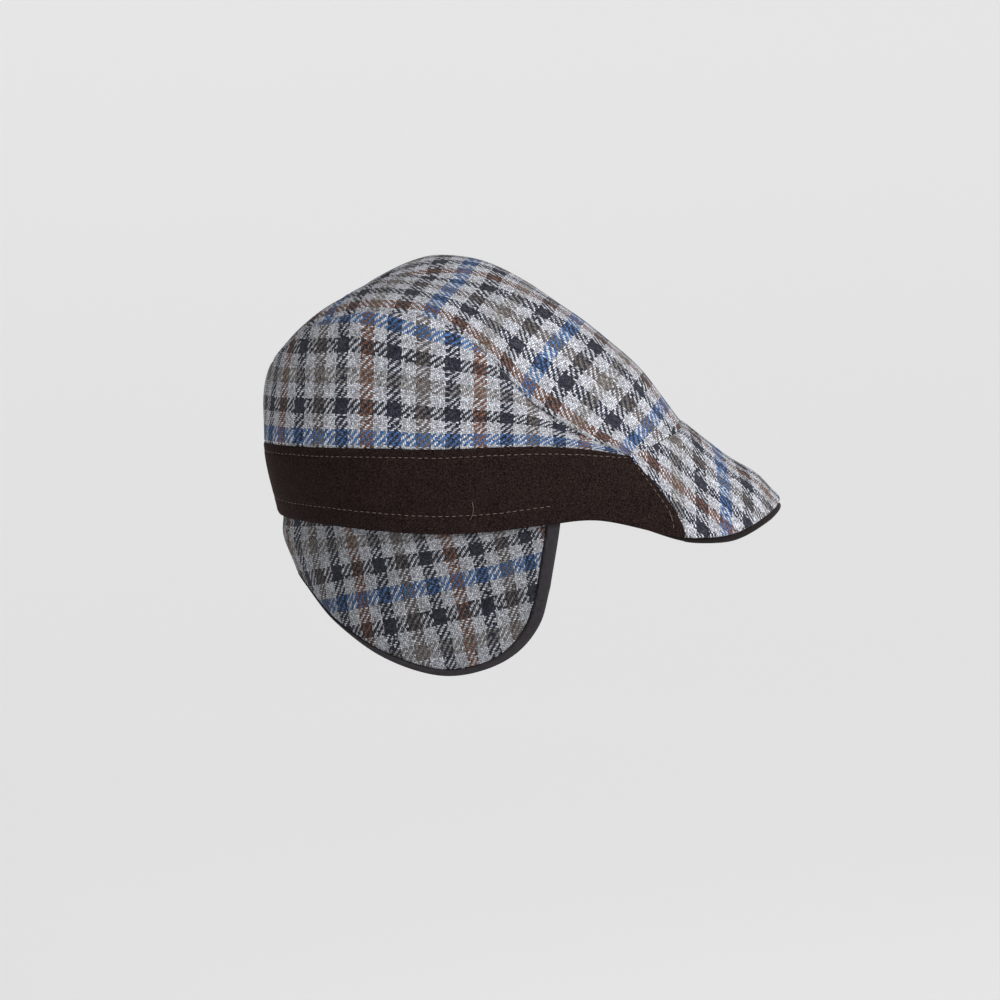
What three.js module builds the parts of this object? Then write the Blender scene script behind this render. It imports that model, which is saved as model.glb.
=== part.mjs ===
// Earflap newsboy cap: a tweed crown of five panels, a stiffened peak, a suede band and one
// ear-to-ear flap. Millimetres, +X towards the peak, +Y to the wearer's left, +Z up. The origin is
// the centre of the head opening, level with the lower edge of the band.

import * as THREE from 'three';

const tweedWall = 2.0;
const suedeWall = 1.8;
const liningWall = 1.5;
const peakBoard = 2.6;
const seamGap = 0.4;
const layerGap = 0.6;

// The peak's lining stands below the cover's edge by this much, growing from nothing over the first
// part of its way to the tip, and runs in under the crown.
const peakLip = 2.6;
const peakLipGrowth = 0.3;
const peakLiningStart = 7.35;
const peakRootAtSides = 0.72;
const peakRootAtTip = 1.12;

// The band's front edge bows towards the peak by this part of a section.
const bandFrontBow = 0.22;

// The flap starts this far up inside the band. Its binding is wide at the front and narrow below,
// widening round the corner between the two sections given.
const flapTuck = 0.26;
const flapFront = 6.32;
const flapRim = 0.16;
const bindingFront = 7.0;
const bindingBelow = 3.2;
const bindingCorner = { drop: 8.0, from: 4.6, to: 6.0 };

// Sections from the centre back (row 0) to the front of the crown (row 8), on the wearer's right:
// the band's lower and upper edges, the seam over the side panel, the seam of the centre strip and
// the ridge of the crown.
const sectionColumns = ['rim', 'bandTop', 'sideSeam', 'stripSeam', 'ridge'];
const sections = [
  [[-95, 0, 1], [-102, 0, 39], [-98, 0, 81], [-57, 0, 117], [-57, 0, 117]],
  [[-87, -33, 1], [-94, -36, 40], [-76, -33, 101], [-52, -6, 119], [-48, 0, 122]],
  [[-64, -62, 1], [-67, -66, 41], [-54, -54, 108], [-42, -16, 125], [-38, 0, 128]],
  [[-37, -78, 0], [-37, -82, 42], [-34, -68, 110], [-29, -31, 128], [-25, 0, 134]],
  [[-8, -83, -1], [-7, -88, 42], [-7, -77, 106], [-9, -42, 127], [-8, 0, 138]],
  [[20, -82, 0], [20, -88, 43], [16, -82, 91], [16, -46, 123], [18, 0, 134]],
  [[47, -79, 3], [47, -85, 43], [40, -86, 66], [52, -47, 107], [58, 0, 111]],
  [[73, -76, 5], [70, -79, 41], [64, -82, 50], [91, -46, 77], [98, 0, 79]],
  [[118, -72, -4], [90, -69, 37], [90, -69, 37], [116, -42, 47], [120, 0, 51]],
].map((row) => named(sectionColumns, row));

// The peak's outer edge goes on from the rim of the last section to the tip.
const peakEdge = [[144, -62, -3], [166, -37, 5], [175, 0, 9]].map(toVector);

// The flap's lower edge: the section that each point hangs from, and the point.
const flapEdge = [
  { section: 0, point: toVector([-85, 0, -33]) },
  { section: 1, point: toVector([-78, -28, -37]) },
  { section: 2, point: toVector([-62, -50, -51]) },
  { section: 3, point: toVector([-38, -61, -67]) },
  { section: 4, point: toVector([-6, -64, -77]) },
  { section: 5, point: toVector([18, -66, -73]) },
  { section: 5.6, point: toVector([34, -66, -64]) },
  { section: 6, point: toVector([45, -68, -49]) },
  { section: flapFront, point: toVector([50, -70, -30]) },
];

const lastSection = sections.length - 1;
const tip = lastSection + peakEdge.length;

function toVector(values) {
  return new THREE.Vector3(...values);
}

function named(columns, row) {
  return Object.fromEntries(columns.map((name, i) => [name, toVector(row[i])]));
}

function mirrored(point) {
  return new THREE.Vector3(point.x, -point.y, point.z);
}

// A smooth line through points that stand at whole sections, starting at the section given.
function lineThrough(points, firstSection) {
  const curve = new THREE.CatmullRomCurve3(points);
  const share = (section) => (section - firstSection) / (points.length - 1);
  return (section) => curve.getPoint(THREE.MathUtils.clamp(share(section), 0, 1));
}

// A line that goes on round the back of the head, so it crosses the centre back smoothly.
function ringThrough(column, onwards = []) {
  const back = [mirrored(sections[2][column]), mirrored(sections[1][column])];
  return lineThrough([...back, ...sections.map((row) => row[column]), ...onwards], -back.length);
}

const peakOtherSide = [peakEdge[1], peakEdge[0]].map(mirrored);
const lines = {
  rim: ringThrough('rim', [...peakEdge, ...peakOtherSide]),
  bandTop: ringThrough('bandTop'),
  sideSeam: ringThrough('sideSeam'),
  stripSeam: lineThrough(sections.map((row) => row.stripSeam), 0),
  ridge: lineThrough(sections.map((row) => row.ridge), 0),
};

// The crown and band as one skin. Across a section, 0 is the rim, 1 the band's upper edge, 2 the
// side seam, 3 the strip's seam, 4 the ridge and 5 the strip's seam on the other side.
const at = { rim: 0, bandTop: 1, sideSeam: 2, stripSeam: 3, ridge: 4, farStripSeam: 5 };

function crownSkin(section, across) {
  if (section < 0) {
    return mirrored(crownSkin(-section, across));
  }
  const half = sectionColumns.map((name) => lines[name](section));
  const whole = [...half, mirrored(half[at.stripSeam]), mirrored(half[at.sideSeam])];
  const share = THREE.MathUtils.clamp(across / (whole.length - 1), 0, 1);
  return new THREE.CatmullRomCurve3(whole).getPoint(share);
}

// The band and the peak as one skin: height 0 is the lower edge, 1 the band's upper edge or the
// crease between crown and peak. Past the tip it is mirrored.
function lowerSkin(section, height) {
  if (section < 0) {
    return mirrored(lowerSkin(-section, height));
  }
  if (section > tip) {
    return mirrored(lowerSkin(2 * tip - section, height));
  }
  if (section <= lastSection && height >= 0) {
    return crownSkin(section, height);
  }
  const share = Math.max(0, section - lastSection) / (tip - lastSection);
  const lower = lines.rim(section);
  const upper = section > lastSection
    ? crownSkin(lastSection, at.sideSeam + share * (at.ridge - at.sideSeam))
    : lines.bandTop(section);
  return lower.lerp(upper, height);
}

const insidePoint = new THREE.Vector3(10, 0, 30);
const slopeStep = 0.01;

// How far a skin goes, in mm, for one step of its first or second measure.
function speed(skin, a, b, stepA, stepB) {
  return skin(a + stepA, b + stepB).distanceTo(skin(a - stepA, b - stepB)) / (2 * (stepA + stepB));
}

// The unit normal of a skin, facing out of the cap.
function normalOf(skin, a, b) {
  const alongA = skin(a + slopeStep, b).sub(skin(a - slopeStep, b));
  const alongB = skin(a, b + slopeStep).sub(skin(a, b - slopeStep));
  const normal = alongA.cross(alongB).normalize();
  return normal.dot(skin(a, b).sub(insidePoint)) < 0 ? normal.negate() : normal;
}

// A closed wall on a grid of places on a skin. The outer face stands off the skin by lift(i, j) and
// the inner face by depth(i, j), both in mm along the normal, inwards where negative.
function wallOn(skin, columns, rows, place, lift, depth) {
  const outer = [];
  const inner = [];
  for (let i = 0; i <= columns; i += 1) {
    for (let j = 0; j <= rows; j += 1) {
      const [a, b] = place(i, j);
      const point = skin(a, b);
      const normal = normalOf(skin, a, b);
      outer.push(...point.clone().addScaledVector(normal, lift(i, j)).toArray());
      inner.push(...point.clone().addScaledVector(normal, depth(i, j)).toArray());
    }
  }
  const stride = rows + 1;
  const innerStart = (columns + 1) * stride;
  const faces = [];
  const quad = (a, b, c, d) => faces.push(a, b, c, a, c, d);
  for (let i = 0; i < columns; i += 1) {
    for (let j = 0; j < rows; j += 1) {
      const corner = i * stride + j;
      const ring = [corner, corner + stride, corner + stride + 1, corner + 1];
      quad(...ring);
      quad(...ring.map((index) => index + innerStart).reverse());
    }
  }
  const edge = (from, to) => quad(to, from, from + innerStart, to + innerStart);
  for (let i = 0; i < columns; i += 1) {
    edge(i * stride, (i + 1) * stride);
    edge((i + 1) * stride + rows, i * stride + rows);
  }
  for (let j = 0; j < rows; j += 1) {
    edge(j + 1, j);
    edge(columns * stride + j, columns * stride + j + 1);
  }
  const geometry = new THREE.BufferGeometry();
  geometry.setAttribute('position', new THREE.Float32BufferAttribute([...outer, ...inner], 3));
  geometry.setIndex(faces);
  return volumeOf(geometry) < 0 ? turnedOut(geometry) : geometry;
}

function volumeOf(geometry) {
  const position = geometry.getAttribute('position');
  const corner = (k) => new THREE.Vector3().fromBufferAttribute(position, geometry.index.getX(k));
  let sum = 0;
  for (let k = 0; k < geometry.index.count; k += 3) {
    sum += corner(k).dot(corner(k + 1).cross(corner(k + 2))) / 6;
  }
  return sum;
}

function turnedOut(geometry) {
  const faces = [...geometry.index.array];
  for (let k = 0; k < faces.length; k += 3) {
    [faces[k], faces[k + 1]] = [faces[k + 1], faces[k]];
  }
  geometry.setIndex(faces);
  return geometry;
}

function otherSide(geometry) {
  return turnedOut(geometry.clone().scale(1, -1, 1));
}

// The sections where the crown's columns stand, alike on every panel so that neighbours follow one
// seam. The side panel ends just short of the band's front corner.
const columnsPerSection = 3;
const sidePanelEnd = 7.76;
const columnSections = [
  ...Array.from({ length: lastSection * columnsPerSection }, (_, i) => i / columnsPerSection),
  sidePanelEnd,
  lastSection,
];

// A panel of the crown between two seam lines, kept half a seam's gap inside each of them and
// standing out from the skin by fullness(section, across).
function crownPanel(from, to, firstSection, endSection, rows, fullness) {
  const columns = columnSections.filter((section) => section <= Math.ceil(endSection)).length - 1;
  const halfGap = seamGap / 2;
  const place = (i, j) => {
    const first = firstSection(THREE.MathUtils.lerp(from, to, j / rows));
    const section = THREE.MathUtils.clamp(columnSections[i], first, endSection);
    const start = from + halfGap / speed(crownSkin, section, from, 0, slopeStep);
    const end = to - halfGap / speed(crownSkin, section, to, 0, slopeStep);
    return [section, THREE.MathUtils.lerp(start, end, j / rows)];
  };
  const lift = (i, j) => fullness(...place(i, j));
  return wallOn(crownSkin, columns, rows, place, lift, (i, j) => lift(i, j) - tweedWall);
}

const backInset = (across) => seamGap / speed(crownSkin, 0, across, slopeStep, 0);
const creaseInset = seamGap / speed(crownSkin, lastSection - slopeStep, at.ridge, slopeStep, 0);
const stripStart = () => 0.15;
const flat = () => 0;

// The top panels are fuller than the side panels, and hang over the side seam towards the front.
const overhang = { lift: 2.2, section: 6.6, sectionReach: 1.0, across: 2.3, acrossReach: 0.32 };

function topFullness(section, across) {
  const along = (section - overhang.section) / overhang.sectionReach;
  const up = (across - overhang.across) / overhang.acrossReach;
  return overhang.lift * Math.exp(-along * along - up * up);
}

function crownSide() {
  return crownPanel(at.bandTop, at.sideSeam, backInset, sidePanelEnd, 6, flat);
}

function crownTop() {
  const end = lastSection - creaseInset;
  return crownPanel(at.sideSeam, at.stripSeam, backInset, end, 7, topFullness);
}

function crownStrip() {
  const end = lastSection - creaseInset;
  return crownPanel(at.stripSeam, at.farStripSeam, stripStart, end, 8, flat);
}

// The band's front edge, from its lower corner on the peak to its upper corner below the crown.
function bandFront(height) {
  return lastSection + bandFrontBow * 4 * height * (1 - height);
}

function band() {
  const columns = 48;
  const rows = 4;
  const top = 1 - seamGap / 2 / speed(lowerSkin, 0, 1, 0, slopeStep);
  const place = (i, j) => {
    const height = top * j / rows;
    return [THREE.MathUtils.lerp(-bandFront(height), bandFront(height), i / columns), height];
  };
  return wallOn(lowerSkin, columns, rows, place, () => 0, () => -suedeWall);
}

function peakCover() {
  const columns = 26;
  const rows = 6;
  const gap = seamGap / speed(lowerSkin, lastSection + 0.5, 0.5, slopeStep, 0);
  const top = 1 - seamGap / speed(lowerSkin, tip, 1, 0, slopeStep);
  const place = (i, j) => {
    const height = top * j / rows;
    const side = bandFront(height) + gap;
    return [THREE.MathUtils.lerp(side, 2 * tip - side, i / columns), height];
  };
  return wallOn(lowerSkin, columns, rows, place, () => 0, () => -tweedWall);
}

function peakLining() {
  const columns = 34;
  const rows = 6;
  const face = -tweedWall - layerGap;
  const place = (i, j) => {
    const section = THREE.MathUtils.lerp(peakLiningStart, 2 * tip - peakLiningStart, i / columns);
    const share = 1 - Math.abs(section - tip) / (tip - peakLiningStart);
    const stand = peakLip * THREE.MathUtils.smoothstep(share, 0, peakLipGrowth);
    const lip = stand / speed(lowerSkin, section, 0.2, 0, slopeStep);
    const root = THREE.MathUtils.lerp(peakRootAtSides, peakRootAtTip, share);
    return [section, THREE.MathUtils.lerp(-lip, root, j / rows)];
  };
  return wallOn(lowerSkin, columns, rows, place, () => face, () => face - peakBoard);
}

const flapLower = new THREE.CatmullRomCurve3([
  ...flapEdge.slice(1, 3).reverse().map((row) => mirrored(row.point)),
  ...flapEdge.map((row) => row.point),
]);

// The point of the flap's lower edge below a section.
function flapEdgeAt(section) {
  const next = Math.max(1, flapEdge.findIndex((row) => row.section >= section));
  const [low, high] = [flapEdge[next - 1].section, flapEdge[next].section];
  const place = next - 1 + (section - low) / (high - low);
  return flapLower.getPoint((place + 2) / (flapEdge.length + 1));
}

// The flap's outer face, from its top inside the band (0) to its lower edge (1). It clears the
// band's inner face down to the rim, and hangs from there.
function flapSkin(section, down) {
  if (section < 0) {
    return mirrored(flapSkin(-section, down));
  }
  const hung = Math.min(section, flapFront);
  const inside = (height) => {
    const normal = normalOf(lowerSkin, hung, height + slopeStep);
    return lowerSkin(hung, height).addScaledVector(normal, -suedeWall - layerGap);
  };
  const hang = new THREE.CatmullRomCurve3([inside(flapTuck), inside(0), flapEdgeAt(hung)]);
  const share = down < flapRim ? down / flapRim : 1 + (down - flapRim) / (1 - flapRim);
  return hang.getPoint(THREE.MathUtils.clamp(share / 2, 0, 1));
}

// Where the tweed of the flap ends below a section, kept clear of its binding by the gap given.
function tweedEnd(section, gap) {
  const { drop, from, to } = bindingCorner;
  const corner = THREE.MathUtils.smoothstep(Math.abs(section), from, to);
  const binding = THREE.MathUtils.lerp(bindingBelow, drop, corner);
  return 1 - (binding + gap) / speed(flapSkin, section, 0.6, 0, slopeStep);
}

const flapColumns = 48;
const flapRows = 7;
const bindingShare = bindingFront / speed(flapSkin, 6, 0.5, slopeStep, 0);
const gapShare = seamGap / speed(flapSkin, 6, 0.5, slopeStep, 0);
const tweedFront = flapFront - bindingShare - gapShare;

// The sections of the flap's columns, closer together towards its front edges.
function flapSection(column) {
  const share = 2 * column / flapColumns - 1;
  return tweedFront * (0.6 * share + 0.4 * Math.sin(share * Math.PI / 2));
}

function earFlap() {
  const front = tweedFront - gapShare;
  const place = (i, j) => {
    const section = THREE.MathUtils.clamp(flapSection(i), -front, front);
    return [section, tweedEnd(section, 3 * seamGap) * j / flapRows];
  };
  return wallOn(flapSkin, flapColumns, flapRows, place, () => 0, () => -tweedWall);
}

// The lining lies behind the tweed, and its turned edge comes forward round the tweed's edges.
function flapLining() {
  const columns = flapColumns + 4;
  const rows = flapRows + 2;
  const binding = [flapFront, tweedFront + gapShare];
  const sectionAt = (i) => {
    const fromEnd = Math.min(i, columns - i);
    return fromEnd < 2 ? Math.sign(i - columns / 2) * binding[fromEnd] : flapSection(i - 2);
  };
  const place = (i, j) => {
    const section = sectionAt(i);
    const ends = { [rows]: 1, [rows - 1]: tweedEnd(section, 0) };
    return [section, ends[j] ?? tweedEnd(section, seamGap) * j / flapRows];
  };
  const onBinding = (i, j) => i < 2 || i > columns - 2 || j > rows - 2;
  const behind = -tweedWall - layerGap;
  const lift = (i, j) => (onBinding(i, j) ? 0 : behind);
  return wallOn(flapSkin, columns, rows, place, lift, () => behind - liningWall);
}

const tweed = { color: 0x8c8986, roughness: 0.95, metalness: 0 };
const suede = { color: 0x2c1d19, roughness: 0.9, metalness: 0 };
const charcoal = { color: 0x36333a, roughness: 0.85, metalness: 0 };
const darkTwill = { color: 0x1d1513, roughness: 0.8, metalness: 0 };

const side = crownSide();
const top = crownTop();

const pieces = [
  ['crown_side_right', side, tweed],
  ['crown_side_left', otherSide(side), tweed],
  ['crown_top_right', top, tweed],
  ['crown_top_left', otherSide(top), tweed],
  ['crown_strip', crownStrip(), tweed],
  ['peak_cover', peakCover(), tweed],
  ['peak_lining', peakLining(), darkTwill],
  ['band', band(), suede],
  ['ear_flap', earFlap(), tweed],
  ['flap_lining', flapLining(), charcoal],
];

const cap = new THREE.Group();
for (const [name, geometry, finish] of pieces) {
  geometry.computeVertexNormals();
  const piece = new THREE.Mesh(geometry, new THREE.MeshStandardMaterial(finish));
  piece.name = name;
  cap.add(piece);
}

export default cap;
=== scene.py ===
import math
import random
from functools import lru_cache

import bmesh
import bpy
from mathutils import Matrix, Vector, noise
from mathutils.kdtree import KDTree


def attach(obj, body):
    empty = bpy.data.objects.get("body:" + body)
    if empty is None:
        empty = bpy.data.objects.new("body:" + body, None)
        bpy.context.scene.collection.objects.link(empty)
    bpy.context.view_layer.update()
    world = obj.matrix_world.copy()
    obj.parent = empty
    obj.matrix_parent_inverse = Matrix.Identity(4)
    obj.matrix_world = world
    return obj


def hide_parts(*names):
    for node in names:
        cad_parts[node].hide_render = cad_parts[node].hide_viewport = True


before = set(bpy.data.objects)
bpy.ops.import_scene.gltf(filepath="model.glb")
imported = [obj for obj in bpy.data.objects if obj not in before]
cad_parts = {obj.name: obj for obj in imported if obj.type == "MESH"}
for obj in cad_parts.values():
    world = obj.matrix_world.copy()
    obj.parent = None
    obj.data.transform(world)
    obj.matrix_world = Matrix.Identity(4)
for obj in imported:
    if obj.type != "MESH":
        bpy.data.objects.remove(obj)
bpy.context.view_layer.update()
print("frame loaded")

mm = 0.001
random.seed(11)
scene = bpy.context.scene

# the cap's cross lines on the wearer's right, centre back first, in mm
columnNames = ["rim", "bandTop", "sideSeam", "stripSeam", "ridge"]
sections = [
    [(-95, 0, 1), (-102, 0, 39), (-98, 0, 81), (-57, 0, 117), (-57, 0, 117)],
    [(-87, -33, 1), (-94, -36, 40), (-76, -33, 101), (-52, -6, 119), (-48, 0, 122)],
    [(-64, -62, 1), (-67, -66, 41), (-54, -54, 108), (-42, -16, 125), (-38, 0, 128)],
    [(-37, -78, 0), (-37, -82, 42), (-34, -68, 110), (-29, -31, 128), (-25, 0, 134)],
    [(-8, -83, -1), (-7, -88, 42), (-7, -77, 106), (-9, -42, 127), (-8, 0, 138)],
    [(20, -82, 0), (20, -88, 43), (16, -82, 91), (16, -46, 123), (18, 0, 134)],
    [(47, -79, 3), (47, -85, 43), (40, -86, 66), (52, -47, 107), (58, 0, 111)],
    [(73, -76, 5), (70, -79, 41), (64, -82, 50), (91, -46, 77), (98, 0, 79)],
    [(118, -72, -4), (90, -69, 37), (90, -69, 37), (116, -42, 47), (120, 0, 51)],
]
peakEdge = [Vector(p) for p in [(144, -62, -3), (166, -37, 5), (175, 0, 9)]]
lastSection = len(sections) - 1
tip = lastSection + len(peakEdge)
insidePoint = Vector((10, 0, 30))


def mirrored(p):
    return Vector((p.x, -p.y, p.z))


def batten(points, share):  # a smooth line through points, as a bent batten lies
    last = len(points) - 1
    place = min(max(share, 0.0), 1.0) * last
    k = min(int(place), last - 1)
    t = place - k
    p1, p2 = points[k], points[k + 1]
    p0 = points[k - 1] if k > 0 else 2 * p1 - p2
    p3 = points[k + 2] if k + 2 <= last else 2 * p2 - p1
    d1 = (p2 - p1).length ** 0.5
    d1 = d1 if d1 > 1e-4 else 1.0
    d0 = (p1 - p0).length ** 0.5
    d0 = d0 if d0 > 1e-4 else d1
    d2 = (p3 - p2).length ** 0.5
    d2 = d2 if d2 > 1e-4 else d1
    m1 = ((p1 - p0) / d0 - (p2 - p0) / (d0 + d1) + (p2 - p1) / d1) * d1
    m2 = ((p2 - p1) / d1 - (p3 - p1) / (d1 + d2) + (p3 - p2) / d2) * d1
    return p1 + m1 * t + (3 * (p2 - p1) - 2 * m1 - m2) * t ** 2 + (2 * (p1 - p2) + m1 + m2) * t ** 3


def ring(name, onwards=()):  # goes on round the back, so it crosses the centre back smoothly
    column = [Vector(row[columnNames.index(name)]) for row in sections]
    return [mirrored(column[2]), mirrored(column[1])] + column + list(onwards)


lines = {
    "rim": (ring("rim", peakEdge + [mirrored(peakEdge[1]), mirrored(peakEdge[0])]), -2),
    "bandTop": (ring("bandTop"), -2),
    "sideSeam": (ring("sideSeam"), -2),
    "stripSeam": (ring("stripSeam")[2:], 0),
    "ridge": (ring("ridge")[2:], 0),
}


@lru_cache(maxsize=None)
def onLine(name, section):
    points, first = lines[name]
    return batten(points, (section - first) / (len(points) - 1))


def crownSkin(section, across):  # 0 rim, 1 band top, 2 side seam, 3 strip seam, 4 ridge, 5 far strip seam
    if section < 0:
        return mirrored(crownSkin(-section, across))
    half = [onLine(name, section) for name in columnNames]
    return batten(half + [mirrored(half[3]), mirrored(half[2])], across / 6)


def lowerSkin(section, height):  # band and peak, 0 lower edge, 1 band top or crease
    if section < 0:
        return mirrored(lowerSkin(-section, height))
    if section > tip:
        return mirrored(lowerSkin(2 * tip - section, height))
    if section <= lastSection and height >= 0:
        return crownSkin(section, height)
    share = max(0.0, section - lastSection) / (tip - lastSection)
    upper = crownSkin(lastSection, 2 + 2 * share) if section > lastSection else onLine("bandTop", section)
    return onLine("rim", section).lerp(upper, height)


def normalOn(skin, a, b, step=0.01):
    n = (skin(a + step, b) - skin(a - step, b)).cross(skin(a, b + step) - skin(a, b - step)).normalized()
    return -n if n.dot(skin(a, b) - insidePoint) < 0 else n


def smooth(low, high, x):
    t = min(max((x - low) / (high - low), 0.0), 1.0)
    return t * t * (3 - 2 * t)


def bump(x, centre, reach):
    return math.exp(-((x - centre) / reach) ** 2)


def mix(a, b, t):
    return a + (b - a) * t


def arcTable(path, steps=200):  # running length of a path that takes a share from 0 to 1
    points = [path(k / steps) for k in range(steps + 1)]
    lengths = [0.0]
    for k in range(steps):
        lengths.append(lengths[-1] + (points[k + 1] - points[k]).length)
    return lengths


def readTable(lengths, share):
    place = min(max(share, 0.0), 1.0) * (len(lengths) - 1)
    k = min(int(place), len(lengths) - 2)
    return mix(lengths[k], lengths[k + 1], place - k)


print("skins ready")

# node helpers for the materials


def addMath(tree, operation, *values):
    node = tree.nodes.new("ShaderNodeMath")
    node.operation = operation
    for k, value in enumerate(values):
        if isinstance(value, (int, float)):
            node.inputs[k].default_value = value
        else:
            tree.links.new(value, node.inputs[k])
    return node.outputs[0]


def addMix(tree, factor, first, second, blend="MIX"):
    node = tree.nodes.new("ShaderNodeMix")
    node.data_type = "RGBA"
    node.blend_type = blend
    for k, value in ((0, factor), (6, first), (7, second)):
        if isinstance(value, (int, float)):
            node.inputs[k].default_value = value
        elif isinstance(value, tuple):
            node.inputs[k].default_value = (*value, 1.0)
        else:
            tree.links.new(value, node.inputs[k])
    return node.outputs[2]


def addNoise(tree, vector, scale, detail=2.0, roughness=0.5):
    node = tree.nodes.new("ShaderNodeTexNoise")
    node.inputs["Scale"].default_value = scale
    node.inputs["Detail"].default_value = detail
    node.inputs["Roughness"].default_value = roughness
    tree.links.new(vector, node.inputs["Vector"])
    return node.outputs["Fac"]


def addVector(tree, x, y, z=0.0):
    node = tree.nodes.new("ShaderNodeCombineXYZ")
    for k, value in enumerate((x, y, z)):
        if isinstance(value, (int, float)):
            node.inputs[k].default_value = value
        else:
            tree.links.new(value, node.inputs[k])
    return node.outputs[0]


def addRandom(tree, x, y):
    node = tree.nodes.new("ShaderNodeTexWhiteNoise")
    node.noise_dimensions = "2D"
    tree.links.new(addVector(tree, x, y), node.inputs["Vector"])
    return node.outputs["Value"]


def srgb(r, g, b):  # paint value to light value
    return tuple((c / 255 / 12.92) if c <= 10 else ((c / 255 + 0.055) / 1.055) ** 2.4 for c in (r, g, b))


def startGroup(name, inputs, outputs):
    tree = bpy.data.node_groups.new(name, "ShaderNodeTree")
    for label, kind in inputs:
        tree.interface.new_socket(label, in_out="INPUT", socket_type=kind)
    for label, kind in outputs:
        tree.interface.new_socket(label, in_out="OUTPUT", socket_type=kind)
    return tree, tree.nodes.new("NodeGroupInput"), tree.nodes.new("NodeGroupOutput")


# the check: stripes of one width, each warp stripe crossed by each weft stripe
yarns = {
    "light": srgb(216, 218, 226), "navy": srgb(20, 28, 54), "taupe": srgb(111, 101, 96),
    "rust": srgb(127, 83, 60), "dark": srgb(26, 30, 44), "blue": srgb(68, 114, 174),
    "stone": srgb(148, 144, 140),
}
check = {
    "warp": ["light", "navy", "light", "taupe", "light", "navy", "light", "rust"],
    "weft": ["light", "dark", "light", "stone", "light", "dark", "light", "blue"],
    "threads": 8, "warpPitch": 0.82, "weftPitch": 0.98, "lastStripe": 7.5,
}
warpStripe = check["threads"] * check["warpPitch"]
weftStripe = check["threads"] * check["weftPitch"]
lastWarp = check["lastStripe"] * warpStripe  # the middle of the rust stripe
lastWeft = check["lastStripe"] * weftStripe  # the middle of the blue stripe
weave = {
    "wobble": 1.6, "shake": 1.5,  # mm that the threads stray, in long and in short waves
    "lost": 0.08, "warpCore": 0.41, "weftCore": 0.36,  # floats lost in the nap, half widths of light yarn
    "melange": 0.24, "pale": 0.18, "deep": 0.55,  # most grey, light and dark fibre in a yarn
    "shade": (0.55, 0.9), "depth": (0.27, 0.92), "dust": (0.8, 0.4),  # least, and how much more; depth is painted shade, darker where the threads dip
}


def stripeOf(tree, thread, count):  # which stripe of a repeat a thread lies in
    stripe = addMath(tree, "FLOOR", addMath(tree, "DIVIDE", thread, check["threads"]))
    return addMath(tree, "FLOORED_MODULO", stripe, count)


def stripeColours(tree, thread, order):
    stripe = stripeOf(tree, thread, len(order))
    ramp = tree.nodes.new("ShaderNodeValToRGB")
    ramp.color_ramp.interpolation = "CONSTANT"
    stops = ramp.color_ramp.elements
    stops.remove(stops[1])
    for k, yarn in enumerate(order):
        stop = stops[0] if k == 0 else stops.new(k / len(order))
        stop.position = k / len(order)
        stop.color = (*yarns[yarn], 1.0)
    tree.links.new(addMath(tree, "DIVIDE", addMath(tree, "ADD", stripe, 0.5), len(order)), ramp.inputs["Fac"])
    return ramp.outputs["Color"]


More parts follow.
